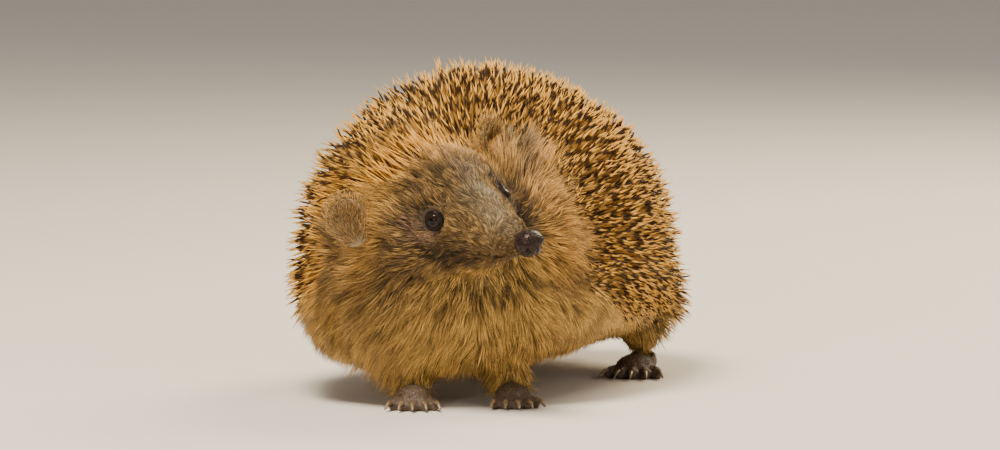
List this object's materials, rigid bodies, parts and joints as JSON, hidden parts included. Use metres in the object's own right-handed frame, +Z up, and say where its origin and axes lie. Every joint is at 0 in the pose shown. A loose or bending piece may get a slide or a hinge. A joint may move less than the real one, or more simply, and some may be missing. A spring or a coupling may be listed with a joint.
{
  "type": "hedgehog",
  "caption": "European hedgehog standing with its head turned to its left: domed back of banded spines, furry face and belly, pointed snout, small round ears and short clawed feet.",
  "frame": {"origin": "centre of the footprint's box, on the floor", "axes": "+Z up; the chest faces -Y, a little to -X; the rump is towards +Y; the head turns towards +X"},
  "size_m": [0.129, 0.199, 0.1046],
  "materials": {
    "spines": "stiff smooth spines, cream with a dark brown band and a pale tip",
    "fur": "coarse tan fur",
    "face_fur": "short brown fur, darker round the eyes and along the mouth",
    "bare_skin": "thin-haired grey-brown skin",
    "nose_pad": "moist, finely pebbled, black",
    "eye": "wet black",
    "claw": "smooth brown horn"
  },
  "bodies": {
    "root": {"claw_fore_left_1": "claw", "claw_fore_left_2": "claw", "claw_fore_left_3": "claw", "claw_fore_left_4": "claw", "claw_fore_left_5": "claw", "claw_fore_right_1": "claw", "claw_fore_right_2": "claw", "claw_fore_right_3": "claw", "claw_fore_right_4": "claw", "claw_fore_right_5": "claw", "claw_hind_left_1": "claw", "claw_hind_left_2": "claw", "claw_hind_left_3": "claw", "claw_hind_left_4": "claw", "claw_hind_left_5": "claw", "claw_hind_right_1": "claw", "claw_hind_right_2": "claw", "claw_hind_right_3": "claw", "claw_hind_right_4": "claw", "claw_hind_right_5": "claw", "ear_left": "bare_skin", "ear_right": "bare_skin", "eye_left": "eye", "eye_right": "eye", "foot_fore_left": "bare_skin", "foot_fore_right": "bare_skin", "foot_hind_left": "bare_skin", "foot_hind_right": "bare_skin", "head": "face_fur", "leg_fore_left": "bare_skin", "leg_fore_right": "bare_skin", "leg_hind_left": "bare_skin", "leg_hind_right": "bare_skin", "lower_jaw": "face_fur", "neck": "fur", "nose": "nose_pad", "snout": "face_fur", "tail": "bare_skin", "trunk_back": "spines", "trunk_belly": "fur"}
  },
  "joints": []
}
